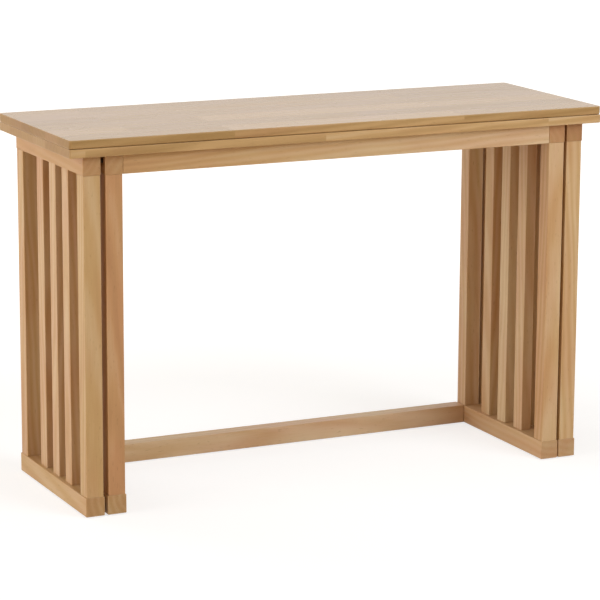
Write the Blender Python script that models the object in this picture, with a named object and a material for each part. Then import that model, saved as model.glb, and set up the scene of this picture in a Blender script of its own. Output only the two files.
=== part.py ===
"""Console table that opens into a dining table.

Two leaves of one size lie on each other over four slatted end frames. The outer pair of frames
carries the lower leaf. The inner pair, tied by the front apron and the low rear stretcher, pulls
forward from between them, and the upper leaf then folds forward to lie on it.
Metres, +Z up, front towards -Y, origin on the floor under the middle of the folded table.
"""

import math
from collections import namedtuple

import bmesh
import bpy

# Top: two leaves of one size
TOP_LENGTH = 1.200
LEAF_DEPTH = 0.415
LEAF_THICKNESS = 0.0175
UPPER_LEAF_CORNER_RADIUS = 0.0065
LOWER_LEAF_CORNER_RADIUS = 0.003
LEAF_EDGE_RADIUS = 0.002
LEAF_END_EASE = 0.0006
UPPER_LEAF_SEAM_RADIUS = 0.005
TABLE_HEIGHT = 0.770

# Place of the end frames under the top, and the side play between the nested pairs
SIDE_OVERHANG = 0.032
FRONT_OVERHANG = 0.019
BACK_OVERHANG = 0.010
NEST_GAP_LEFT = 0.007
NEST_GAP_RIGHT = 0.003

# End frame: two posts and a row of thinner slats between two rails
POST_WIDTH = 0.036
POST_DEPTH = 0.036
SLAT_WIDTH = 0.0235
SLAT_DEPTH = 0.036
SLAT_GAP = 0.0365
SLAT_COUNT = 3
TOP_RAIL_WIDTH = 0.0375
TOP_RAIL_HEIGHT = 0.039
BOTTOM_RAIL_WIDTH = 0.040
BOTTOM_RAIL_HEIGHT = 0.039
POST_SETBACK = 0.001
MEMBER_EDGE_RADIUS = 0.0013
MEMBER_END_EASE = 0.001

# Tenons of posts and slats, and the wood left between two pockets in one rail
TENON_LENGTH = 0.016
TENON_THICKNESS = 0.012
TENON_SHOULDER = 0.006
TENON_CORNER_RADIUS = 0.004
POCKET_WALL = 0.003

# Cross pieces that tie each pair of frames
APRON_THICKNESS = 0.020
APRON_TENON_SHOULDER = 0.005
REAR_APRON_THICKNESS = 0.008
REAR_APRON_INSET = 0.012
STRETCHER_DEPTH = 0.037
STRETCHER_HEIGHT = 0.040
STRETCHER_TENON_SHOULDER = 0.009

# Guide pegs that run in grooves between the outer and inner top rails
PEG_DIAMETER = 0.008
PEG_REACH = 0.007
PEG_DROP = 0.012
PEG_INSET = 0.014
PEG_SPACING_OPEN = 0.025
PEG_CHAMFER = 0.0008
GROOVE_PLAY = 0.0006

# Concealed barrel hinges let into the meeting faces of the leaves
HINGE_COUNT = 3
HINGE_END_INSET = 0.150
BARREL_DIAMETER = 0.012
BARREL_SETBACK = 0.0125
BARREL_CHAMFER = 0.0005
BORE_FLOOR = 0.005
LINK_SLOT_WIDTH = 0.003
LINK_SLOT_DEPTH = 0.008

# Glides under the bottom rails
GLIDE_DIAMETER = 0.020
GLIDE_HEIGHT = 0.002
GLIDE_CHAMFER = 0.0006
GLIDE_INSET = 0.034

# Clearances
JOINT_GAP = 0.0003
SEAM_GAP = 0.0003
LEAF_OPEN_GAP = 0.001
PULL_CLEARANCE = 0.001
CUT_OVERSHOOT = 0.002

# Facets of the round edges and round pieces
EDGE_STEPS = 2
LEAF_EDGE_STEPS = 4
CORNER_STEPS = 4
ROUND_SIDES = 24

# Levels and places that follow from the sizes above
UPPER_LEAF_BOTTOM = TABLE_HEIGHT - LEAF_THICKNESS
LOWER_LEAF_TOP = UPPER_LEAF_BOTTOM - SEAM_GAP
LOWER_LEAF_BOTTOM = LOWER_LEAF_TOP - LEAF_THICKNESS
BOTTOM_RAIL_UNDERSIDE = GLIDE_HEIGHT + JOINT_GAP
BOTTOM_RAIL_TOP = BOTTOM_RAIL_UNDERSIDE + BOTTOM_RAIL_HEIGHT
FRAME_FRONT = -LEAF_DEPTH / 2 + FRONT_OVERHANG
FRAME_BACK = LEAF_DEPTH / 2 - BACK_OVERHANG
INNER_BACK = FRAME_BACK - PULL_CLEARANCE
STRETCHER_Y = INNER_BACK - STRETCHER_DEPTH / 2
FRAME_WIDTH = max(TOP_RAIL_WIDTH, BOTTOM_RAIL_WIDTH, POST_WIDTH)
OUTER_X = TOP_LENGTH / 2 - SIDE_OVERHANG - FRAME_WIDTH / 2
OUTER_RAIL_TOP = LOWER_LEAF_BOTTOM - JOINT_GAP
INNER_RAIL_TOP = LOWER_LEAF_BOTTOM - PULL_CLEARANCE
PEG_LEVEL = INNER_RAIL_TOP - PEG_DROP
PULL_TRAVEL = INNER_BACK - FRAME_FRONT - 2 * PEG_INSET - PEG_SPACING_OPEN
FRONT_PEG_Y = FRAME_FRONT + PEG_INSET
REAR_PEG_Y = INNER_BACK - PEG_INSET
HINGE_AXIS_Y = -LEAF_DEPTH / 2 - LEAF_OPEN_GAP / 2
HINGE_AXIS_Z = LOWER_LEAF_TOP + SEAM_GAP / 2
BARREL_LENGTH = LEAF_THICKNESS - BORE_FLOOR - JOINT_GAP

Frame = namedtuple("Frame", "name centre_x outward back rail_top nest_gap is_inner")

FRAMES = (
    Frame("outer_left", -OUTER_X, -1, FRAME_BACK, OUTER_RAIL_TOP, NEST_GAP_LEFT, False),
    Frame("outer_right", OUTER_X, 1, FRAME_BACK, OUTER_RAIL_TOP, NEST_GAP_RIGHT, False),
    Frame("inner_left", -OUTER_X + FRAME_WIDTH + NEST_GAP_LEFT, -1, INNER_BACK, INNER_RAIL_TOP,
          NEST_GAP_LEFT, True),
    Frame("inner_right", OUTER_X - FRAME_WIDTH - NEST_GAP_RIGHT, 1, INNER_BACK, INNER_RAIL_TOP,
          NEST_GAP_RIGHT, True),
)


# Outlines and lofted solids

def rounded_rectangle(width, depth, radius, steps):
    """Points of a rectangle with round corners, anticlockwise round its middle."""
    points = []
    for corner in range(4):
        middle_u = (width / 2 - radius) * (1 if corner in (0, 3) else -1)
        middle_v = (depth / 2 - radius) * (1 if corner in (0, 1) else -1)
        for step in range(steps + 1):
            angle = (corner + step / steps) * math.pi / 2
            points.append((middle_u + radius * math.cos(angle), middle_v + radius * math.sin(angle)))
    return points


def circle(diameter):
    """Points of a round section, anticlockwise."""
    turns = [2 * math.pi * side / ROUND_SIDES for side in range(ROUND_SIDES)]
    return [(diameter / 2 * math.cos(turn), diameter / 2 * math.sin(turn)) for turn in turns]


def eased_stations(length, width, depth, radius, ease, corner_steps):
    """Sections of a bar centred on its axis, whose two ends are rounded over by the ease."""
    stations = []
    for step in range(EDGE_STEPS + 1):
        angle = step / EDGE_STEPS * math.pi / 2
        inset = ease * (1 - math.sin(angle))
        along = length / 2 - ease * (1 - math.cos(angle))
        section = rounded_rectangle(width - 2 * inset, depth - 2 * inset, radius - inset, corner_steps)
        stations.append((along, section))
    return [(-along, section) for along, section in stations] + stations[::-1]


def round_stations(length, diameter, low_chamfer, high_chamfer):
    """Sections of a round bar from 0 to its length, chamfered at both ends."""
    return [
        (0, circle(diameter - 2 * low_chamfer)),
        (low_chamfer, circle(diameter)),
        (length - high_chamfer, circle(diameter)),
        (length, circle(diameter - 2 * high_chamfer)),
    ]


def with_tenons(stations, tenon, length):
    """The same bar with a tenon of the given section standing out of each end."""
    low, high = stations[0][0], stations[-1][0]
    return [(low - length, tenon), (low, tenon), *stations, (high, tenon), (high + length, tenon)]


def loft(bm, axis, middle, stations):
    """Adds a closed solid whose sections stand along the axis, measured from the middle point."""
    rings = []
    for along, section in stations:
        ring = []
        for u, v in section:
            local = {"X": (along, u, v), "Y": (v, along, u), "Z": (u, v, along)}[axis]
            ring.append(bm.verts.new([m + p for m, p in zip(middle, local)]))
        rings.append(ring)
    count = len(rings[0])
    for low, high in zip(rings, rings[1:]):
        for i in range(count):
            bm.faces.new((low[i], low[(i + 1) % count], high[(i + 1) % count], high[i]))
    bm.faces.new(rings[0][::-1])
    bm.faces.new(rings[-1])


def lofted_mesh(name, solids):
    """A mesh of one or more lofts, each an axis, a middle point and its sections."""
    bm = bmesh.new()
    for axis, middle, stations in solids:
        loft(bm, axis, middle, stations)
    bmesh.ops.remove_doubles(bm, verts=bm.verts, dist=1e-7)
    bmesh.ops.recalc_face_normals(bm, faces=bm.faces)
    mesh = bpy.data.meshes.new(name)
    bm.to_mesh(mesh)
    bm.free()
    mesh.shade_smooth()
    mesh.set_sharp_from_angle(angle=math.radians(40))
    return mesh


# Objects, finishes and cuts

def linear(hex_colour):
    """An sRGB hex colour as the linear values that a shader takes."""
    channels = [int(hex_colour[i:i + 2], 16) / 255 for i in (0, 2, 4)]
    return [c / 12.92 if c <= 0.04045 else ((c + 0.055) / 1.055) ** 2.4 for c in channels] + [1]


def finish(name, hex_colour, roughness, metallic=0.0):
    material = bpy.data.materials.new(name)
    material.use_nodes = True
    shader = material.node_tree.nodes["Principled BSDF"]
    shader.inputs["Base Color"].default_value = linear(hex_colour)
    shader.inputs["Roughness"].default_value = roughness
    shader.inputs["Metallic"].default_value = metallic
    return material


def axis_empty(name, place):
    """An empty that stands on a joint's axis and carries the pieces that the joint moves."""
    empty = bpy.data.objects.new(name, None)
    bpy.context.collection.objects.link(empty)
    empty.location = place
    return empty


def piece(name, solids, place, parent, material):
    """One sub-part: its lofts about its own origin, set at a world place under its body's empty."""
    obj = bpy.data.objects.new(name, lofted_mesh(name, solids))
    bpy.context.collection.objects.link(obj)
    obj.parent = parent
    obj.location = [w - p for w, p in zip(place, parent.location)]
    obj.data.materials.append(material)
    return obj


def cut(obj, solids):
    """Takes pockets, given about the piece's own origin, out of a piece."""
    cutter = bpy.data.objects.new(obj.name + "_pockets", lofted_mesh(obj.name + "_pockets", solids))
    bpy.context.collection.objects.link(cutter)
    cutter.parent = obj
    cutter.hide_render = True
    cutter.display_type = "WIRE"
    boolean = obj.modifiers.new("pockets", "BOOLEAN")
    boolean.operation = "DIFFERENCE"
    boolean.solver = "EXACT"
    boolean.object = cutter


# Slatted end frames

def tenon_section(width, depth, radius, clearance=0.0):
    """Section of a tenon, or of its mortise when a clearance is given."""
    return rounded_rectangle(width + 2 * clearance, depth + 2 * clearance, radius + clearance, EDGE_STEPS)


def upright_places(frame):
    """Name, middle Y, width and depth of each post and slat of a frame, front to back."""
    middle = (FRAME_FRONT + frame.back) / 2
    inset = POST_SETBACK + POST_DEPTH / 2
    places = [("front_post", FRAME_FRONT + inset, POST_WIDTH, POST_DEPTH)]
    for i in range(SLAT_COUNT):
        offset = (i - (SLAT_COUNT - 1) / 2) * (SLAT_DEPTH + SLAT_GAP)
        places.append((f"slat_{i + 1}", middle + offset, SLAT_WIDTH, SLAT_DEPTH))
    places.append(("back_post", frame.back - inset, POST_WIDTH, POST_DEPTH))
    return places


def make_uprights(frame, parent, material):
    """Posts and slats, with round-edged tenons that seat in both rails."""
    low = BOTTOM_RAIL_TOP + JOINT_GAP
    high = frame.rail_top - TOP_RAIL_HEIGHT - JOINT_GAP
    for part_name, y, width, depth in upright_places(frame):
        body = rounded_rectangle(width, depth, MEMBER_EDGE_RADIUS, EDGE_STEPS)
        tenon = tenon_section(TENON_THICKNESS, depth - 2 * TENON_SHOULDER, TENON_CORNER_RADIUS)
        stations = with_tenons([(0, body), (high - low, body)], tenon, TENON_LENGTH)
        piece(f"{frame.name}_{part_name}", [("Z", (0, 0, 0), stations)], (frame.centre_x, y, low),
              parent, material)


def mortises(frame, face, inwards):
    """Pockets for the uprights of a frame, sunk from a level of the rail's face, about the rail's middle."""
    middle = (FRAME_FRONT + frame.back) / 2
    depth_end = face + inwards * (TENON_LENGTH + JOINT_GAP)
    mouth = face - inwards * CUT_OVERSHOOT
    pockets = []
    for _, y, _, depth in upright_places(frame):
        section = tenon_section(TENON_THICKNESS, depth - 2 * TENON_SHOULDER, TENON_CORNER_RADIUS, JOINT_GAP)
        levels = sorted((mouth, depth_end))
        pockets.append(("Z", (0, y - middle, 0), [(level, section) for level in levels]))
    return pockets


def side_pocket_depth(rail_width):
    """How deep a pocket in a rail's side can be and still leave a wall to the uprights' mortises."""
    return rail_width / 2 - TENON_THICKNESS / 2 - POCKET_WALL


def side_pocket(rail_width, toward, place, section, depth):
    """A pocket of the given section in a rail's side face that looks toward -X or +X."""
    face = toward * rail_width / 2
    levels = sorted((face + toward * CUT_OVERSHOOT, face - toward * depth))
    return ("X", (0, *place), [(level, section) for level in levels])


def make_rail(name, frame, width, height, underside, parent, material):
    """A rail along the frame's depth, with eased ends, its origin in its middle."""
    length = frame.back - FRAME_FRONT
    stations = eased_stations(length, height, width, MEMBER_EDGE_RADIUS, MEMBER_END_EASE, EDGE_STEPS)
    place = (frame.centre_x, (FRAME_FRONT + frame.back) / 2, underside + height / 2)
    return piece(f"{frame.name}_{name}", [("Y", (0, 0, 0), stations)], place, parent, material)


def make_top_rail(frame, parent, material):
    """Top rail, with mortises below, a peg hole and a peg groove in the side that faces its neighbour."""
    underside = frame.rail_top - TOP_RAIL_HEIGHT
    rail = make_rail("top_rail", frame, TOP_RAIL_WIDTH, TOP_RAIL_HEIGHT, underside, parent, material)
    middle_y = (FRAME_FRONT + frame.back) / 2
    middle_z = underside + TOP_RAIL_HEIGHT / 2
    toward = frame.outward if frame.is_inner else -frame.outward
    hole_y = REAR_PEG_Y if frame.is_inner else FRONT_PEG_Y
    run_start = FRONT_PEG_Y if frame.is_inner else REAR_PEG_Y - PULL_TRAVEL
    groove_height = PEG_DIAMETER + 2 * GROOVE_PLAY
    groove = rounded_rectangle(PULL_TRAVEL + groove_height, groove_height, groove_height / 2, CORNER_STEPS)
    groove_place = (run_start + PULL_TRAVEL / 2 - middle_y, PEG_LEVEL - middle_z)
    hole = circle(PEG_DIAMETER + 2 * JOINT_GAP)
    hole_place = (hole_y - middle_y, PEG_LEVEL - middle_z)
    seat = side_pocket_depth(TOP_RAIL_WIDTH) + JOINT_GAP
    pockets = mortises(frame, -TOP_RAIL_HEIGHT / 2, 1)
    pockets.append(side_pocket(TOP_RAIL_WIDTH, toward, groove_place, groove, PEG_REACH + GROOVE_PLAY))
    pockets.append(side_pocket(TOP_RAIL_WIDTH, toward, hole_place, hole, seat))
    if frame.is_inner:
        section = tenon_section(*apron_tenon_size(), TENON_CORNER_RADIUS, JOINT_GAP)
        apron_place = (FRAME_FRONT + APRON_THICKNESS / 2 - middle_y, 0)
        pockets.append(side_pocket(TOP_RAIL_WIDTH, -toward, apron_place, section, seat))
    cut(rail, pockets)


def make_bottom_rail(frame, parent, material):
    """Bottom rail, with mortises above and, on the inner frames, one for the stretcher."""
    rail = make_rail("bottom_rail", frame, BOTTOM_RAIL_WIDTH, BOTTOM_RAIL_HEIGHT, BOTTOM_RAIL_UNDERSIDE,
                     parent, material)
    pockets = mortises(frame, BOTTOM_RAIL_HEIGHT / 2, -1)
    if frame.is_inner:
        section = tenon_section(*stretcher_tenon_size(), TENON_CORNER_RADIUS, JOINT_GAP)
        place = (STRETCHER_Y - (FRAME_FRONT + frame.back) / 2, (STRETCHER_HEIGHT - BOTTOM_RAIL_HEIGHT) / 2)
        depth = side_pocket_depth(BOTTOM_RAIL_WIDTH) + JOINT_GAP
        pockets.append(side_pocket(BOTTOM_RAIL_WIDTH, -frame.outward, place, section, depth))
    cut(rail, pockets)


def make_glides(frame, parent, material):
    """Low round glides under both ends of a bottom rail."""
    stations = round_stations(GLIDE_HEIGHT, GLIDE_DIAMETER, GLIDE_CHAMFER, 0)
    stations = stations[:-1]
    for part_name, y in (("front_glide", FRAME_FRONT + GLIDE_INSET), ("back_glide", frame.back - GLIDE_INSET)):
        piece(f"{frame.name}_{part_name}", [("Z", (0, 0, 0), stations)], (frame.centre_x, y, 0),
              parent, material)


def make_peg(frame, parent, material):
    """Guide peg, held in its own top rail, that reaches across the gap into its neighbour's groove."""
    toward = frame.outward if frame.is_inner else -frame.outward
    seat = side_pocket_depth(TOP_RAIL_WIDTH)
    rail_gap = frame.nest_gap + FRAME_WIDTH - TOP_RAIL_WIDTH
    length = seat + rail_gap + PEG_REACH
    face_x = frame.centre_x + toward * TOP_RAIL_WIDTH / 2
    low_x = min(face_x - toward * seat, face_x + toward * (rail_gap + PEG_REACH))
    y = REAR_PEG_Y if frame.is_inner else FRONT_PEG_Y
    stations = round_stations(length, PEG_DIAMETER, PEG_CHAMFER, PEG_CHAMFER)
    piece(f"{frame.name}_guide_peg", [("X", (0, 0, 0), stations)], (low_x, y, PEG_LEVEL), parent, material)


# Cross pieces

def apron_tenon_size():
    """Depth along Y and height of the front apron's tenons."""
    shrink = 2 * APRON_TENON_SHOULDER
    return APRON_THICKNESS - shrink, TOP_RAIL_HEIGHT - shrink


def stretcher_tenon_size():
    """Depth along Y and height of the stretcher's tenons."""
    shrink = 2 * STRETCHER_TENON_SHOULDER
    return STRETCHER_DEPTH - shrink, STRETCHER_HEIGHT - shrink


def make_tie(name, rail_width, depth, height, y, z, tenon_size, parent, material):
    """A cross piece between the two inner frames, tenoned into a rail at each end."""
    left, right = [f.centre_x for f in FRAMES if f.is_inner]
    low = left + rail_width / 2 + JOINT_GAP
    high = right - rail_width / 2 - JOINT_GAP
    tenon = tenon_section(*tenon_size, TENON_CORNER_RADIUS)
    bar = eased_stations(high - low, depth, height, MEMBER_EDGE_RADIUS, MEMBER_END_EASE, EDGE_STEPS)
    stations = with_tenons(bar, tenon, side_pocket_depth(rail_width))
    piece(name, [("X", (0, 0, 0), stations)], ((low + high) / 2, y, z), parent, material)


def make_rear_apron(parent, material):
    """Thin board across the back ends of the outer top rails, under the leaf's back overhang."""
    length = 2 * (OUTER_X + TOP_RAIL_WIDTH / 2 - REAR_APRON_INSET)
    stations = eased_stations(length, REAR_APRON_THICKNESS, TOP_RAIL_HEIGHT, MEMBER_EDGE_RADIUS,
                              MEMBER_END_EASE, EDGE_STEPS)
    place = (0, FRAME_BACK + JOINT_GAP + REAR_APRON_THICKNESS / 2, OUTER_RAIL_TOP - TOP_RAIL_HEIGHT / 2)
    piece("rear_apron", [("X", (0, 0, 0), stations)], place, parent, material)


# Leaves and their hinges

def hinge_places():
    """Middle X of each hinge along the leaves' front edge."""
    span = TOP_LENGTH - 2 * HINGE_END_INSET
    return [-span / 2 + span * i / (HINGE_COUNT - 1) for i in range(HINGE_COUNT)]


def leaf_stations(corner_radius, low_radius):
    """Sections of a leaf from its underside up: long edges rounded over, ends only eased."""
    half = LEAF_THICKNESS / 2
    stations = []
    for side, radius in ((-1, low_radius), (1, LEAF_EDGE_RADIUS)):
        rounding = []
        for step in range(LEAF_EDGE_STEPS + 1):
            turn = step / LEAF_EDGE_STEPS * math.pi / 2
            edge_inset = radius * (1 - math.sin(turn))
            end_inset = LEAF_END_EASE * (1 - math.sin(turn))
            section = rounded_rectangle(TOP_LENGTH - 2 * end_inset, LEAF_DEPTH - 2 * edge_inset,
                                        corner_radius - end_inset, CORNER_STEPS)
            rounding.append((side * (half - radius * (1 - math.cos(turn))), section))
        stations += rounding if side < 0 else rounding[::-1]
    return stations


def make_leaf(name, underside, bored_face, corner_radius, low_radius, parent, material):
    """A leaf with round corners and edges, bored for the hinge barrels in its top or its underside."""
    stations = leaf_stations(corner_radius, low_radius)
    leaf = piece(name, [("Z", (0, 0, 0), stations)], (0, 0, underside + LEAF_THICKNESS / 2), parent, material)
    section = circle(BARREL_DIAMETER + 2 * JOINT_GAP)
    face = bored_face * LEAF_THICKNESS / 2
    levels = sorted((face + bored_face * CUT_OVERSHOOT, face - bored_face * (BARREL_LENGTH + JOINT_GAP)))
    y = -LEAF_DEPTH / 2 + BARREL_SETBACK
    cut(leaf, [("Z", (x, y, 0), [(level, section) for level in levels]) for x in hinge_places()])


def make_barrel(name, x, face_z, toward, parent, material):
    """A hinge barrel flush with its leaf's meeting face, slotted there for the links."""
    stations = round_stations(BARREL_LENGTH, BARREL_DIAMETER, BARREL_CHAMFER, BARREL_CHAMFER)
    low_z = face_z - BARREL_LENGTH if toward > 0 else face_z
    y = -LEAF_DEPTH / 2 + BARREL_SETBACK
    barrel = piece(name, [("Z", (0, 0, 0), stations)], (x, y, low_z), parent, material)
    face = BARREL_LENGTH if toward > 0 else 0
    levels = sorted((face + toward * CUT_OVERSHOOT, face - toward * LINK_SLOT_DEPTH))
    half_width = LINK_SLOT_WIDTH / 2
    half_reach = BARREL_DIAMETER / 2 + CUT_OVERSHOOT
    slot = [(-half_width, -half_reach), (half_width, -half_reach), (half_width, half_reach),
            (-half_width, half_reach)]
    cut(barrel, [("Z", (0, 0, 0), [(level, slot) for level in levels])])


def make_table():
    for obj in list(bpy.data.objects):
        bpy.data.objects.remove(obj, do_unlink=True)

    top_wood = finish("top_lacquered_wood", "CDB99F", 0.38)
    frame_wood = finish("outer_frame_lacquered_wood", "C8A478", 0.45)
    pull_wood = finish("inner_frame_lacquered_wood", "C29B72", 0.45)
    brass = finish("hinge_brass", "B8964E", 0.3, 1.0)
    nylon = finish("guide_peg_nylon", "3B2A1C", 0.5)
    felt = finish("glide_felt", "6B5B4B", 0.95)

    base = axis_empty("base", (0, 0, 0))
    pull_out = axis_empty("pull_out_axis", (0, FRAME_FRONT, PEG_LEVEL))
    folding = axis_empty("leaf_hinge_axis", (0, HINGE_AXIS_Y, HINGE_AXIS_Z))

    for frame in FRAMES:
        body = pull_out if frame.is_inner else base
        wood = pull_wood if frame.is_inner else frame_wood
        make_top_rail(frame, body, wood)
        make_bottom_rail(frame, body, wood)
        make_uprights(frame, body, wood)
        make_peg(frame, body, nylon)
        make_glides(frame, body, felt)

    make_tie("front_apron", TOP_RAIL_WIDTH, APRON_THICKNESS, TOP_RAIL_HEIGHT, FRAME_FRONT + APRON_THICKNESS / 2,
             INNER_RAIL_TOP - TOP_RAIL_HEIGHT / 2, apron_tenon_size(), pull_out, pull_wood)
    make_tie("rear_stretcher", BOTTOM_RAIL_WIDTH, STRETCHER_DEPTH, STRETCHER_HEIGHT, STRETCHER_Y,
             BOTTOM_RAIL_UNDERSIDE + STRETCHER_HEIGHT / 2, stretcher_tenon_size(), pull_out, pull_wood)
    make_rear_apron(base, frame_wood)

    make_leaf("lower_leaf", LOWER_LEAF_BOTTOM, 1, LOWER_LEAF_CORNER_RADIUS, LEAF_EDGE_RADIUS, base, top_wood)
    make_leaf("upper_leaf", UPPER_LEAF_BOTTOM, -1, UPPER_LEAF_CORNER_RADIUS, UPPER_LEAF_SEAM_RADIUS, folding,
              top_wood)
    for i, x in enumerate(hinge_places()):
        make_barrel(f"hinge_{i + 1}_lower_barrel", x, LOWER_LEAF_TOP, 1, base, brass)
        make_barrel(f"hinge_{i + 1}_upper_barrel", x, UPPER_LEAF_BOTTOM, -1, folding, brass)


make_table()
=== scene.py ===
"""Looks of the folding console table: lacquered rubberwood, its small fittings, the light and the view.

The frame stays as it was packed. This script gives every piece its finish and adds the fittings that
are too small for the solids: the screws that hold the top and the rear apron, and the hinge links.
Metres, +Z up, front towards -Y, origin on the floor under the middle of the folded table.
"""

import math
from collections import namedtuple

import bpy
import numpy as np
from mathutils import Matrix, Vector


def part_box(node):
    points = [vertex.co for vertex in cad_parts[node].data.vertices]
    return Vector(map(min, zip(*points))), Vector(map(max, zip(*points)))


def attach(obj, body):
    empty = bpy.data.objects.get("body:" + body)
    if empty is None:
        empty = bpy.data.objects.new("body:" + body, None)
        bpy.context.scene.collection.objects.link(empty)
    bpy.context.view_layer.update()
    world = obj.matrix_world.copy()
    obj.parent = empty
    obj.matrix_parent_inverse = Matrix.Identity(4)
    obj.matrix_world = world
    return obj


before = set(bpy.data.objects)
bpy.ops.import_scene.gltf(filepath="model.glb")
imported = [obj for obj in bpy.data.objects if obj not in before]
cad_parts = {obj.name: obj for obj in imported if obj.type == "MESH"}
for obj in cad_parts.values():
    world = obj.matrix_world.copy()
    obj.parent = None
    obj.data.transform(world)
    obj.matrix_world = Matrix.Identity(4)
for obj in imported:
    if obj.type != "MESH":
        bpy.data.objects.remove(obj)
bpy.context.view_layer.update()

# View: place, heading and lens of the camera, fitted to the photograph's edges in a 600 by 600 image
CAMERA_PLACE = (-2.4300, -5.0901, 1.5819)
CAMERA_YAW = 25.463
CAMERA_PITCH = 12.208
CAMERA_ROLL = 0.281
CAMERA_LENS_MM = 162.815

# Wood: sizes of its figure in metres, across the grain, and how much it is drawn out along it
RING_SPACING = 0.014
FIGURE_STRETCH = 0.20
FIBRE_WIDTH = 0.0030
FIBRE_STRETCH = 0.08
PATCH_WIDTH = 0.050
PORE_WIDTH = 0.0030

# Staves of a leaf: width and length, the share of a length by which rows are set off, how far the figure
# jumps from one to the next, and the start that brings light or dark ones to each leaf's front edge
STAVE_WIDTH = 0.0692
STAVE_LENGTH = 0.52
STAVE_OFFSET = 0.37
STAVE_SHIFT = (1.9, 0.23, 0.11)
STAVE_START = {"upper_leaf": -2.870, "lower_leaf": 4.208}

# Pith: how much it leans towards the board along the drawn-out grain, its least distance from the board's
# middle, the spread of that distance, and the steps from board to board that keep them from looking alike
PITH_LEAN = 0.25
PITH_REACH = 0.05
PITH_SPREAD = 0.06
PITH_TURN_STEP = 2.4
PITH_REACH_STEP = 0.618
PITH_HEIGHT_STEP = 0.37

# Shade: how far rings, fibres, patches and staves change it, how much stronger the figure is on a leaf's
# long edges, how far a board turns to straw or pink, how dark pores and end grain are, and how wide and
# how strongly edges grow lighter, partly from rubbing and partly as a painted highlight on their rounding
RING_SHADE = 0.14
FIBRE_SHADE = 0.16
PATCH_SHADE = 0.30
STAVE_SHADE = 0.24
EDGE_STREAKS = 3.0
BLUSH_SPREAD = 0.3
PORE_DARKNESS = 0.24
EDGE_RUB_AND_HIGHLIGHT_WIDTH = {"leaf": 0.0030, "other": 0.0014}
EDGE_RUB_AND_HIGHLIGHT = 0.3

# Lacquer: its range of roughness, how much it mirrors, how much smoother a leaf's faces are rubbed, and
# how strongly and how deep the grain shows through it
LACQUER_ROUGHNESS = (0.40, 0.54)
LACQUER_GLOSS = 0.3
FACE_RUBBING = 0.20
GRAIN_RELIEF = {"leaf": 0.02, "other": 0.08}
GRAIN_DEPTH = 0.0004

# Screws: head radius and rise, the width, reach, depth and wall of the cross in it, and how far the rim
# sinks into the wood
SCREW_RADIUS = 0.0040
SCREW_RISE = 0.0012
CROSS_WIDTH = 0.0011
CROSS_REACH = 0.0046
CROSS_DEPTH = 0.0010
CROSS_WALL = 0.0003
SCREW_SINK = 0.0002

# Hinge links: length, height, thickness and edge rounding of the plate folded into a barrel's slot, and
# how far it lies below the barrel's open end
LINK_LENGTH = 0.0100
LINK_HEIGHT = 0.0066
LINK_THICKNESS = 0.0024
LINK_EDGE = 0.0003
LINK_DROP = 0.0006

# Fittings: width of the tool marks on brass, the cloud in nylon and the fibres of felt
BRASS_MARK_WIDTH = 0.0006
NYLON_CLOUD_WIDTH = 0.004
FELT_FIBRE_WIDTH = 0.0008

# Floor: half its side, its glow near the table and far from it, and the distances between which it rises
FLOOR_HALF = 30.0
FLOOR_GLOW = (0.72, 1.0)
FLOOR_GLOW_REACH = (0.8, 2.5)

# Even light of the studio on the wood
FILL_LIGHT = 0.29


# Shader helpers

def colour(hex_value):
    """sRGB hex as linear red, green, blue and alpha."""
    channels = np.array([int(hex_value[i:i + 2], 16) for i in (0, 2, 4)]) / 255
    linear = np.where(channels <= 0.04045, channels / 12.92, ((channels + 0.055) / 1.055) ** 2.4)
    return (*linear.tolist(), 1.0)


def add(tree, kind, inputs=None, **settings):
    """Adds a node with its settings, and fills inputs with values or with the sockets they link to."""
    made = tree.nodes.new(kind)
    for name, value in settings.items():
        setattr(made, name, value)
    for name, value in (inputs or {}).items():
        if isinstance(value, bpy.types.NodeSocket):
            tree.links.new(value, made.inputs[name])
        else:
            made.inputs[name].default_value = value
    return made


def new_material(name):
    """An empty node material with its output, as a material, its tree and the output node."""
    material = bpy.data.materials.new(name)
    material.use_nodes = True
    material.node_tree.nodes.clear()
    return material, material.node_tree, add(material.node_tree, "ShaderNodeOutputMaterial")


# Wood

GRAIN_TURN = {"X": (0, -math.pi / 2, 0), "Y": (math.pi / 2, 0, 0), "Z": (0, 0, 0)}


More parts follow.
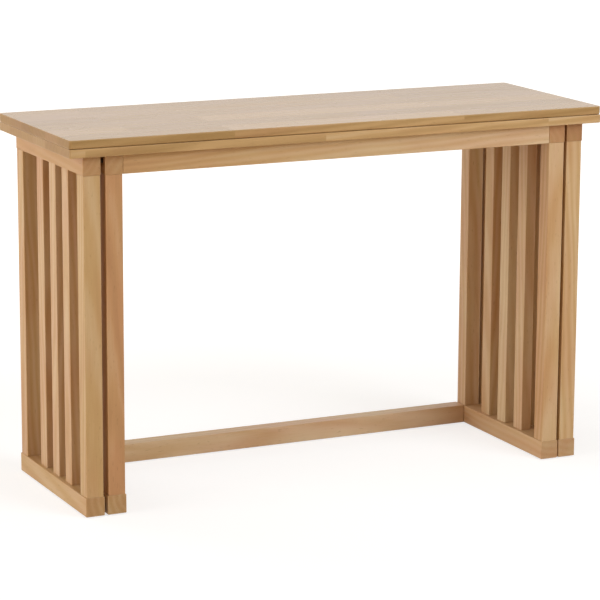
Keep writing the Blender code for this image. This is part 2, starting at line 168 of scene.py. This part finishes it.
def rubberwood(name, grain, board, middle, pith, stave_start=None):
    """Rubberwood, planed, sanded and satin lacquered, its grain along one axis.

    To the eye it is a tan wood with faint broad figure, fine fibres, short darker pores, slow changes
    between straw and pink, darker end grain and a soft sheen. Rings stand round a pith beside the piece
    that leans towards it, so a face shows stripes or tongues and an end shows arcs. A leaf is glued from
    staves, each with its own figure and a slightly different shade. Its upright sides are painted darker
    than its top and bottom faces, whose lighter shade is partly a painted sheen; its long edges are more
    streaked, and its faces are rubbed smoother. Edges are a shade lighter, partly rubbed and partly a
    painted highlight on their rounding, and some boards grow lighter along their grain as a painted
    gradient of light.
    """
    material, tree, output = new_material(name)
    coords = add(tree, "ShaderNodeTexCoord")
    placed = add(tree, "ShaderNodeVectorMath", {
        0: coords.outputs["Object"], 1: middle}, operation="SUBTRACT")
    is_leaf = stave_start is not None
    kind = "leaf" if is_leaf else "other"
    if is_leaf:
        laid = add(tree, "ShaderNodeVectorMath", {
            0: coords.outputs["Object"], 1: (stave_start, 0, 0)}, operation="ADD")
        glued = add(tree, "ShaderNodeTexBrick", {
            "Vector": laid.outputs[0], "Color1": (0, 0, 0, 1), "Color2": (1, 1, 1, 1), "Scale": 1.0,
            "Mortar Size": 0.0, "Brick Width": STAVE_LENGTH, "Row Height": STAVE_WIDTH},
            offset=STAVE_OFFSET)
        placed = add(tree, "ShaderNodeVectorMath", {
            0: glued.outputs["Color"], 1: STAVE_SHIFT, 2: placed.outputs[0]}, operation="MULTIPLY_ADD")
    stretch = [FIGURE_STRETCH if axis == grain else 1 for axis in "XYZ"]
    lean = PITH_LEAN * Vector((pith[0], pith[1], 0)).normalized()
    straight = add(tree, "ShaderNodeMapping", {
        "Vector": placed.outputs[0], "Location": Vector(pith) - pith[2] * lean,
        "Rotation": GRAIN_TURN[grain], "Scale": stretch})
    run = add(tree, "ShaderNodeSeparateXYZ", {0: straight.outputs[0]})
    along = add(tree, "ShaderNodeVectorMath", {0: run.outputs["Z"], 1: lean, 2: straight.outputs[0]},
                operation="MULTIPLY_ADD")
    fine = add(tree, "ShaderNodeVectorMath", {
        0: along.outputs[0], 1: (1, 1, FIBRE_STRETCH)}, operation="MULTIPLY")

    # A wave node's rings stand 0.314 apart at scale 1
    rings = add(tree, "ShaderNodeTexWave", {
        "Vector": along.outputs[0], "Scale": 0.314 / RING_SPACING, "Distortion": 7.0, "Detail": 2.0,
        "Detail Scale": 0.6, "Detail Roughness": 0.5}, wave_type="RINGS", rings_direction="Z")
    # Fibres and pores are drawn several times as coarse as real ones, so that they show
    fibres = add(tree, "ShaderNodeTexNoise", {
        "Vector": fine.outputs[0], "Scale": 1 / FIBRE_WIDTH, "Detail": 3.0, "Roughness": 0.6})
    pores = add(tree, "ShaderNodeTexNoise", {
        "Vector": along.outputs[0], "Scale": 1 / PORE_WIDTH, "Detail": 1.0})
    patches = add(tree, "ShaderNodeTexNoise", {
        "Vector": along.outputs[0], "Scale": 1 / PATCH_WIDTH, "Detail": 2.0, "Roughness": 0.5})

    # Shade: the tone of the board, with rings, fibres, slow patches and staves about it
    figure = 0.0
    for part, strength in ((rings, RING_SHADE), (fibres, FIBRE_SHADE), (patches, PATCH_SHADE)):
        about_middle = add(tree, "ShaderNodeMath", {0: part.outputs["Fac"], 1: 0.5}, operation="SUBTRACT")
        figure = add(tree, "ShaderNodeMath", {
            0: about_middle.outputs[0], 1: strength * board.figure, 2: figure},
            operation="MULTIPLY_ADD").outputs[0]
    # Painted light: the board is painted lighter along its grain, standing in for light and sheen that
    # grow along it
    drift = board.drift / FIGURE_STRETCH
    shade = add(tree, "ShaderNodeMath", {0: run.outputs["Z"], 1: drift, 2: board.tone - pith[2] * drift},
                operation="MULTIPLY_ADD").outputs[0]
    if is_leaf:
        facing = add(tree, "ShaderNodeSeparateXYZ", {0: coords.outputs["Normal"]})
        face_part = add(tree, "ShaderNodeMath", {0: facing.outputs["Z"]}, operation="ABSOLUTE")
        edge_side = add(tree, "ShaderNodeMath", {0: facing.outputs["Y"]}, operation="ABSOLUTE")
        streaks = add(tree, "ShaderNodeMapRange", {
            "Value": edge_side.outputs[0], "To Min": 1.0, "To Max": EDGE_STREAKS})
        figure = add(tree, "ShaderNodeMath", {
            0: figure, 1: streaks.outputs[0]}, operation="MULTIPLY").outputs[0]
        # Stave shades, and painted shade: a leaf's upright sides are painted darker than its top and
        # bottom faces, whose lighter shade partly stands in for their sheen
        for part, strength in ((glued.outputs["Color"], STAVE_SHADE), (face_part.outputs[0], board.edge)):
            about_middle = add(tree, "ShaderNodeMath", {0: part, 1: 0.5}, operation="SUBTRACT")
            shade = add(tree, "ShaderNodeMath", {
                0: about_middle.outputs[0], 1: strength, 2: shade}, operation="MULTIPLY_ADD").outputs[0]
    shade = add(tree, "ShaderNodeMath", {0: shade, 1: figure}, operation="ADD").outputs[0]
    straw = add(tree, "ShaderNodeValToRGB", {"Fac": shade})
    straw.color_ramp.elements[0].color = colour("977543")
    straw.color_ramp.elements[1].color = colour("E1CDAE")
    straw.color_ramp.elements.new(0.5).color = colour("C3A070")
    pink = add(tree, "ShaderNodeValToRGB", {"Fac": shade})
    pink.color_ramp.elements[0].color = colour("976B45")
    pink.color_ramp.elements[1].color = colour("E0BFA9")
    pink.color_ramp.elements.new(0.5).color = colour("C19269")
    flush = add(tree, "ShaderNodeMapRange", {
        "Value": patches.outputs["Fac"], "From Min": 0.35, "From Max": 0.65,
        "To Min": board.blush + BLUSH_SPREAD, "To Max": board.blush - BLUSH_SPREAD})
    body = add(tree, "ShaderNodeMix", {
        "Factor": flush.outputs[0], "A": straw.outputs[0], "B": pink.outputs[0]}, data_type="RGBA")

    # Short open pores, end grain that drinks more lacquer, and edges a shade lighter, partly rubbed and
    # partly a painted highlight on their rounding
    pore = add(tree, "ShaderNodeMapRange", {
        "Value": pores.outputs["Fac"], "From Min": 0.66, "From Max": 0.78})
    end = add(tree, "ShaderNodeVectorMath", {
        0: coords.outputs["Normal"], 1: [float(axis == grain) for axis in "XYZ"]}, operation="DOT_PRODUCT")
    end_part = add(tree, "ShaderNodeMath", {0: end.outputs["Value"]}, operation="ABSOLUTE")
    dark_part = add(tree, "ShaderNodeMath", {0: end_part.outputs[0], 1: board.end, 2: pore.outputs[0]},
                    operation="MULTIPLY_ADD")
    dark_part = add(tree, "ShaderNodeMath", {
        0: dark_part.outputs[0], 1: PORE_DARKNESS}, operation="MULTIPLY")
    pored = add(tree, "ShaderNodeMix", {
        "Factor": dark_part.outputs[0], "A": body.outputs["Result"], "B": colour("7E5830")},
        data_type="RGBA")
    rounded = add(tree, "ShaderNodeBevel", {"Radius": EDGE_RUB_AND_HIGHLIGHT_WIDTH[kind]}, samples=4)
    geometry = add(tree, "ShaderNodeNewGeometry")
    flat_part = add(tree, "ShaderNodeVectorMath", {
        0: rounded.outputs[0], 1: geometry.outputs["True Normal"]}, operation="DOT_PRODUCT")
    rub_and_highlight_part = add(tree, "ShaderNodeMapRange", {
        "Value": flat_part.outputs["Value"], "From Min": 1.0, "From Max": 0.85, "To Max": EDGE_RUB_AND_HIGHLIGHT})
    rubbed_and_highlit = add(tree, "ShaderNodeMix", {
        "Factor": rub_and_highlight_part.outputs[0], "A": pored.outputs["Result"], "B": colour("E2C294")},
        data_type="RGBA")

    # Satin lacquer over open grain
    dullness = add(tree, "ShaderNodeMapRange", {
        "Value": patches.outputs["Fac"], "To Min": LACQUER_ROUGHNESS[0], "To Max": LACQUER_ROUGHNESS[1]})
    if is_leaf:
        dullness = add(tree, "ShaderNodeMath", {
            0: face_part.outputs[0], 1: -FACE_RUBBING, 2: dullness.outputs[0]}, operation="MULTIPLY_ADD")
    relief = add(tree, "ShaderNodeMath", {
        0: fibres.outputs["Fac"], 1: pore.outputs[0]}, operation="SUBTRACT")
    bump = add(tree, "ShaderNodeBump", {
        "Strength": GRAIN_RELIEF[kind], "Distance": GRAIN_DEPTH, "Height": relief.outputs[0]})
    shader = add(tree, "ShaderNodeBsdfPrincipled", {
        "Base Color": rubbed_and_highlit.outputs["Result"], "Roughness": dullness.outputs[0], "Normal": bump.outputs[0],
        "IOR": 1.5, "Specular IOR Level": LACQUER_GLOSS})
    tree.links.new(shader.outputs[0], output.inputs["Surface"])
    return material


def dress(node, material):
    """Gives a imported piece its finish."""
    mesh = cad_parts[node].data
    mesh.materials.clear()
    mesh.materials.append(material)


# How light a board is and how pink, both 0 to 1, how strong its figure is beside the usual, how much
# darker a leaf's upright sides are painted than its faces, partly a painted sheen on the faces, how dark
# its end grain is beside the usual, and how much lighter it is painted for each metre along the grain, a
# painted gradient of light and sheen
Board = namedtuple("Board", "tone blush figure edge end drift", defaults=[1.0, 0.0, 1.0, 0.0])

# Where the pith lies round a piece, for the pieces whose front or top shows tongues
PITH_TURN = {
    "inner_right_front_post": math.pi / 2,
    "upper_leaf": 0.0,
    "lower_leaf": 0.0,
}

# Boards that stand out from the rest. Some also carry painted light: the inner right back post and slats
# and the inner left slats are painted lighter to brighten their faces in the shade inside the frames
BOARDS_AND_PAINTED_LIGHT = {
    "upper_leaf": Board(0.28, 0.05, 0.4, 0.16),
    "lower_leaf": Board(0.48, 0.0, 0.5, 0.06, 1.6),
    "outer_left_front_post": Board(0.55, 0.0),
    "inner_left_front_post": Board(0.46, 0.90),
    "inner_right_front_post": Board(0.57, 0.40, 1.1),
    "outer_right_front_post": Board(0.58, 0.20),
    "inner_right_back_post": Board(0.70, 0.40),
    "inner_right_slat_1": Board(0.70, 0.50),
    "inner_right_slat_2": Board(0.80, 0.0),
    "inner_right_slat_3": Board(0.66, 0.40),
    "outer_left_slat_1": Board(0.63, 0.40),
    "outer_left_slat_2": Board(0.64, 0.50),
    "outer_left_slat_3": Board(0.62, 0.60),
    "inner_left_slat_1": Board(0.62, 0.50),
    "inner_left_slat_2": Board(0.58, 0.40),
    "inner_left_slat_3": Board(0.54, 0.50),
    "outer_left_back_post": Board(0.58, 0.40),
    "outer_right_top_rail": Board(0.32, 0.90, 0.6),
    "inner_right_top_rail": Board(0.52, 0.70, 0.6),
    "outer_left_top_rail": Board(0.50, 0.60, 0.6),
    "inner_left_top_rail": Board(0.50, 0.60, 0.6),
    "inner_right_bottom_rail": Board(0.60, 0.50, 0.6),
    "outer_right_bottom_rail": Board(0.62, 0.30, 0.6),
    # The apron and stretcher are painted lighter towards their right ends, standing in for light and sheen
    # that grow there
    "front_apron": Board(0.61, 0.20, 0.8, drift=0.28),
    "rear_stretcher": Board(0.72, 0.35, drift=0.20),
}


def wood_grain(node):
    """The axis that a wooden piece's grain follows, or None for a piece of something else."""
    for words, axis in ((("leaf", "apron", "stretcher"), "X"), (("rail",), "Y"), (("post", "slat"), "Z")):
        if any(word in node for word in words):
            return axis
    return None


def dress_wood():
    """Every wooden piece gets its own board; unlisted ones vary a little in tone and freely in blush."""
    for number, node in enumerate(sorted(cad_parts)):
        grain = wood_grain(node)
        if grain is None:
            continue
        low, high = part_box(node)
        turn = PITH_TURN.get(node, number * PITH_TURN_STEP)
        reach = PITH_REACH + PITH_SPREAD * (number * PITH_REACH_STEP % 1)
        pith = (reach * math.cos(turn), reach * math.sin(turn), number * PITH_HEIGHT_STEP)
        board = BOARDS_AND_PAINTED_LIGHT.get(node, Board(0.52 + 0.10 * (number * 0.754 % 1 - 0.5), number * 0.57 % 1))
        dress(node, rubberwood("rubberwood_planed_lacquered." + node, grain, board, (low + high) / 2, pith,
                               STAVE_START.get(node)))


# Fittings

def turned_brass():
    """Brass, turned on a lathe: fine tool marks that break up a warm, slightly dull shine."""
    material, tree, output = new_material("brass_turned")
    coords = add(tree, "ShaderNodeTexCoord")
    marks = add(tree, "ShaderNodeTexNoise", {
        "Vector": coords.outputs["Object"], "Scale": 1 / BRASS_MARK_WIDTH, "Detail": 3.0})
    tint = add(tree, "ShaderNodeValToRGB", {"Fac": marks.outputs["Fac"]})
    tint.color_ramp.elements[0].color = colour("A8843C")
    tint.color_ramp.elements[1].color = colour("D2B268")
    roughness = add(tree, "ShaderNodeMapRange", {
        "Value": marks.outputs["Fac"], "To Min": 0.22, "To Max": 0.42})
    shader = add(tree, "ShaderNodeBsdfPrincipled", {
        "Base Color": tint.outputs[0], "Roughness": roughness.outputs[0], "Metallic": 1.0})
    tree.links.new(shader.outputs[0], output.inputs["Surface"])
    return material


def moulded_nylon():
    """Dark brown nylon, moulded: an even dark colour with a faint cloud and a low sheen."""
    material, tree, output = new_material("nylon_moulded")
    coords = add(tree, "ShaderNodeTexCoord")
    cloud = add(tree, "ShaderNodeTexNoise", {
        "Vector": coords.outputs["Object"], "Scale": 1 / NYLON_CLOUD_WIDTH, "Detail": 2.0})
    tint = add(tree, "ShaderNodeValToRGB", {"Fac": cloud.outputs["Fac"]})
    tint.color_ramp.elements[0].color = colour("2C1E14")
    tint.color_ramp.elements[1].color = colour("3F2C1E")
    roughness = add(tree, "ShaderNodeMapRange", {
        "Value": cloud.outputs["Fac"], "To Min": 0.60, "To Max": 0.75})
    shader = add(tree, "ShaderNodeBsdfPrincipled", {
        "Base Color": tint.outputs[0], "Roughness": roughness.outputs[0], "Specular IOR Level": 0.2})
    tree.links.new(shader.outputs[0], output.inputs["Surface"])
    return material


def pressed_felt():
    """Wool felt, pressed: matted brown fibres with no shine."""
    material, tree, output = new_material("felt_pressed")
    coords = add(tree, "ShaderNodeTexCoord")
    fibres = add(tree, "ShaderNodeTexNoise", {
        "Vector": coords.outputs["Object"], "Scale": 1 / FELT_FIBRE_WIDTH, "Detail": 4.0,
        "Roughness": 0.7})
    tint = add(tree, "ShaderNodeValToRGB", {"Fac": fibres.outputs["Fac"]})
    tint.color_ramp.elements[0].color = colour("54473A")
    tint.color_ramp.elements[1].color = colour("85745F")
    bump = add(tree, "ShaderNodeBump", {
        "Strength": 0.6, "Distance": 0.0003, "Height": fibres.outputs["Fac"]})
    shader = add(tree, "ShaderNodeBsdfPrincipled", {
        "Base Color": tint.outputs[0], "Roughness": 0.95, "Normal": bump.outputs[0]})
    tree.links.new(shader.outputs[0], output.inputs["Surface"])
    return material


def brass_piece(name, grid, body, brass):
    """A closed brass skin over a grid of points, whose columns run round and whose end rows are capped."""
    rows, columns = grid.shape[:2]
    index = np.arange(rows * columns).reshape(rows, columns)
    beside = np.roll(index, -1, axis=1)
    quads = np.stack([index[:-1], beside[:-1], beside[1:], index[1:]], axis=-1).reshape(-1, 4)
    caps = [index[0, ::-1].tolist(), index[-1].tolist()]
    mesh = bpy.data.meshes.new(name)
    mesh.from_pydata(grid.reshape(-1, 3).tolist(), [], quads.tolist() + caps)
    mesh.shade_smooth()
    mesh.set_sharp_from_angle(angle=math.radians(35))
    mesh.materials.append(brass)
    piece = bpy.data.objects.new(name, mesh)
    bpy.context.collection.objects.link(piece)
    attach(piece, body)


def screw_grid(place, facing):
    """Points of a domed screw head with a cross recess.

    u goes from the middle, 0, to the rim, 1, and v once round: r = R u, and the height over the wood is
    h = H (1 - u^2) - D max(arm(x, y), arm(y, x)) with x = r cos v, y = r sin v. arm(a, b) is 1 where a is
    within half the cross's width and b within half its reach, and falls to 0 across the recess's wall.
    The last row sinks the rim a little into the wood.
    """
    u = np.append(np.linspace(0.03, 1, 40), 1)[:, None]
    v = np.linspace(0, 2 * np.pi, 72, endpoint=False)
    x, y = SCREW_RADIUS * u * np.cos(v), SCREW_RADIUS * u * np.sin(v)
    in_width = [np.clip((CROSS_WIDTH / 2 - np.abs(a)) / CROSS_WALL + 0.5, 0, 1) for a in (x, y)]
    in_reach = [np.clip((CROSS_REACH / 2 - np.abs(a)) / CROSS_WALL + 0.5, 0, 1) for a in (x, y)]
    cross = np.maximum(in_width[0] * in_reach[1], in_width[1] * in_reach[0])
    height = SCREW_RISE * (1 - u ** 2) - CROSS_DEPTH * cross
    height[-1] = -SCREW_SINK
    out = np.array(facing, float)
    side = np.array((1.0, 0.0, 0.0))
    across = np.cross(out, side)
    return np.array(place) + x[..., None] * side + y[..., None] * across + height[..., None] * out


def make_screws(brass):
    """Two screws in each end of the rear apron, and two up through each outer top rail into the leaf."""
    apron_low, apron_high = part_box("rear_apron")
    for side in ("left", "right"):
        rail_low, rail_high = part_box(f"outer_{side}_top_rail")
        x = (max(apron_low.x, rail_low.x) + min(apron_high.x, rail_high.x)) / 2
        for number, part in enumerate((0.27, 0.73), 1):
            place = (x, apron_high.y, apron_low.z + part * (apron_high.z - apron_low.z))
            brass_piece(f"{side}_apron_screw_{number}", screw_grid(place, (0, 1, 0)), "base", brass)
        for number, (front, back) in enumerate((("front_post", "slat_1"), ("slat_3", "back_post")), 1):
            y = (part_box(f"outer_{side}_{front}")[1].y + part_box(f"outer_{side}_{back}")[0].y) / 2
            place = ((rail_low.x + rail_high.x) / 2, y, rail_low.z)
            brass_piece(f"{side}_leaf_screw_{number}", screw_grid(place, (0, 0, -1)), "base", brass)


def link_grid(middle):
    """Points of a link plate, flat across X.

    v runs round the outline, y = a sgn(cos v) |cos v|^(1/2) and z = b sgn(sin v) |sin v|^(1/2), an
    oblong with round corners. u runs through the thickness, x = T/2 cos(pi u), and the outline is drawn
    in by E (1 - sin(pi u)^(1/2)), so a = L/2 and b = H/2 at the middle and E less at both faces.
    """
    u = np.linspace(0, 1, 13)[:, None]
    v = np.linspace(0, 2 * np.pi, 48, endpoint=False)
    drawn_in = LINK_EDGE * (1 - np.sqrt(np.sin(np.pi * u)))
    y = (LINK_LENGTH / 2 - drawn_in) * np.sign(np.cos(v)) * np.sqrt(np.abs(np.cos(v)))
    z = (LINK_HEIGHT / 2 - drawn_in) * np.sign(np.sin(v)) * np.sqrt(np.abs(np.sin(v)))
    x = np.broadcast_to(LINK_THICKNESS / 2 * np.cos(np.pi * u), y.shape)
    return np.array(middle) + np.stack([x, y, z], axis=-1)


def make_links(brass):
    """The link plate folded into the slot of each hinge barrel, just below the leaf's meeting face."""
    for number in (1, 2, 3):
        for place, body in (("lower", "base"), ("upper", "folding_leaf")):
            low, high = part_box(f"hinge_{number}_{place}_barrel")
            inwards = LINK_DROP + LINK_HEIGHT / 2
            z = high.z - inwards if place == "lower" else low.z + inwards
            middle = ((low.x + high.x) / 2, (low.y + high.y) / 2, z)
            brass_piece(f"hinge_{number}_{place}_link", link_grid(middle), body, brass)


def dress_fittings():
    """Adds the screws and links, and gives barrels, pegs and glides their finish."""
    brass, nylon, felt = turned_brass(), moulded_nylon(), pressed_felt()
    make_screws(brass)
    make_links(brass)
    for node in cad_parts:
        for word, material in (("barrel", brass), ("peg", nylon), ("glide", felt)):
            if word in node:
                dress(node, material)


# Stage

def seen_directly(tree):
    """1 on rays from the camera, in a sheen or through something clear, and 0 on rays that carry light."""
    rays = add(tree, "ShaderNodeLightPath")
    seen = add(tree, "ShaderNodeMath", {
        0: rays.outputs["Is Camera Ray"], 1: rays.outputs["Is Glossy Ray"]}, operation="MAXIMUM")
    seen = add(tree, "ShaderNodeMath", {
        0: seen.outputs[0], 1: rays.outputs["Is Transmission Ray"]}, operation="MAXIMUM")
    return seen.outputs[0]


def make_floor():
    """Paper floor: almost white to the eye, a little darker where the table keeps light off it.

    The light that it throws back up on the wood is a warm white.
    """
    half = FLOOR_HALF
    mesh = bpy.data.meshes.new("floor")
    mesh.from_pydata([(-half, -half, 0), (half, -half, 0), (half, half, 0), (-half, half, 0)], [],
                     [(0, 1, 2, 3)])
    floor = bpy.data.objects.new("floor", mesh)
    bpy.context.collection.objects.link(floor)
    material, tree, output = new_material("floor_pale_paper")
    coords = add(tree, "ShaderNodeTexCoord")
    reach = add(tree, "ShaderNodeVectorMath", {0: coords.outputs["Object"]}, operation="LENGTH")
    strength = add(tree, "ShaderNodeMapRange", {
        "Value": reach.outputs["Value"], "From Min": FLOOR_GLOW_REACH[0], "From Max": FLOOR_GLOW_REACH[1],
        "To Min": FLOOR_GLOW[0], "To Max": FLOOR_GLOW[1]})
    paper = add(tree, "ShaderNodeBsdfDiffuse", {"Color": colour("E6D4B8")})
    lit = add(tree, "ShaderNodeBsdfDiffuse", {"Color": (0.4, 0.4, 0.4, 1)})
    glow = add(tree, "ShaderNodeEmission", {"Color": (1, 1, 1, 1), "Strength": strength.outputs[0]})
    white = add(tree, "ShaderNodeAddShader", {0: lit.outputs[0], 1: glow.outputs[0]})
    mixed = add(tree, "ShaderNodeMixShader", {
        0: seen_directly(tree), 1: paper.outputs[0], 2: white.outputs[0]})
    tree.links.new(mixed.outputs[0], output.inputs["Surface"])
    mesh.materials.append(material)


def make_world():
    """White studio: plain white behind the table and in its sheen, and a low, warm light on the wood."""
    world = bpy.data.worlds.new("studio")
    bpy.context.scene.world = world
    world.use_nodes = True
    tree = world.node_tree
    tree.nodes.clear()
    seen = seen_directly(tree)
    strength = add(tree, "ShaderNodeMapRange", {"Value": seen, "To Min": FILL_LIGHT, "To Max": 1.0})
    tint = add(tree, "ShaderNodeMix", {
        "Factor": seen, "A": colour("FFE4BC"), "B": (1, 1, 1, 1)}, data_type="RGBA")
    background = add(tree, "ShaderNodeBackground", {
        "Color": tint.outputs["Result"], "Strength": strength.outputs[0]})
    output = add(tree, "ShaderNodeOutputWorld")
    tree.links.new(background.outputs[0], output.inputs["Surface"])


def add_softbox(name, place, target, size, power, tint, in_sheen):
    """A square area lamp, turned to a target; one kept out of the sheen makes no glare on the top."""
    lamp = bpy.data.lights.new(name, "AREA")
    lamp.size = size
    lamp.energy = power
    lamp.color = colour(tint)[:3]
    holder = bpy.data.objects.new(name, lamp)
    holder.location = place
    holder.rotation_euler = (Vector(target) - Vector(place)).to_track_quat("-Z", "Y").to_euler()
    holder.visible_glossy = in_sheen
    bpy.context.collection.objects.link(holder)


def make_lights():
    """Soft lamps: a large one from the left, cooler ones high in front, and weak ones above and behind.

    The front ones stand high, so that the top's edge throws its shadow on the apron. Only the weakest,
    behind on the right, shows in the sheen.
    """
    add_softbox("left_soft", (-7.5, -0.8, 2.2), (0, 0, 0.4), 4.2, 254, "FFFFFF", False)
    add_softbox("front_soft", (1.5, -6.0, 2.8), (0, 0, 0.4), 3.0, 52, "EDF5FF", False)
    add_softbox("right_soft", (2.0, -3.6, 2.8), (0, 0, 0.4), 2.4, 99, "EDF5FF", False)
    add_softbox("top_soft", (-0.4, -0.4, 3.4), (0, 0, 0.6), 2.4, 15, "FFFFFF", False)
    add_softbox("back_left_soft", (-2.2, 3.4, 1.8), (0, 0, 0.4), 2.2, 46, "FFFFFF", False)
    add_softbox("back_right_soft", (2.9, 5.6, 2.0), (0, 0, 0.6), 4.0, 10, "FFFFFF", True)


def make_camera():
    """Camera on the photograph's view: heading about +Z, then down, then a small roll."""
    yaw, pitch, roll = (math.radians(a) for a in (CAMERA_YAW, CAMERA_PITCH, CAMERA_ROLL))
    forward = Vector((math.sin(yaw) * math.cos(pitch), math.cos(yaw) * math.cos(pitch), -math.sin(pitch)))
    turn = forward.to_track_quat("-Z", "Y").to_matrix() @ Matrix.Rotation(roll, 3, "Z")
    lens = bpy.data.cameras.new("camera")
    lens.lens = CAMERA_LENS_MM
    lens.sensor_width = 36.0
    lens.clip_end = 100.0
    camera = bpy.data.objects.new("camera", lens)
    camera.matrix_world = Matrix.Translation(CAMERA_PLACE) @ turn.to_4x4()
    bpy.context.collection.objects.link(camera)
    bpy.context.scene.camera = camera


dress_wood()
dress_fittings()
make_floor()
make_world()
make_lights()
make_camera()
bpy.context.scene.view_settings.view_transform = "Standard"
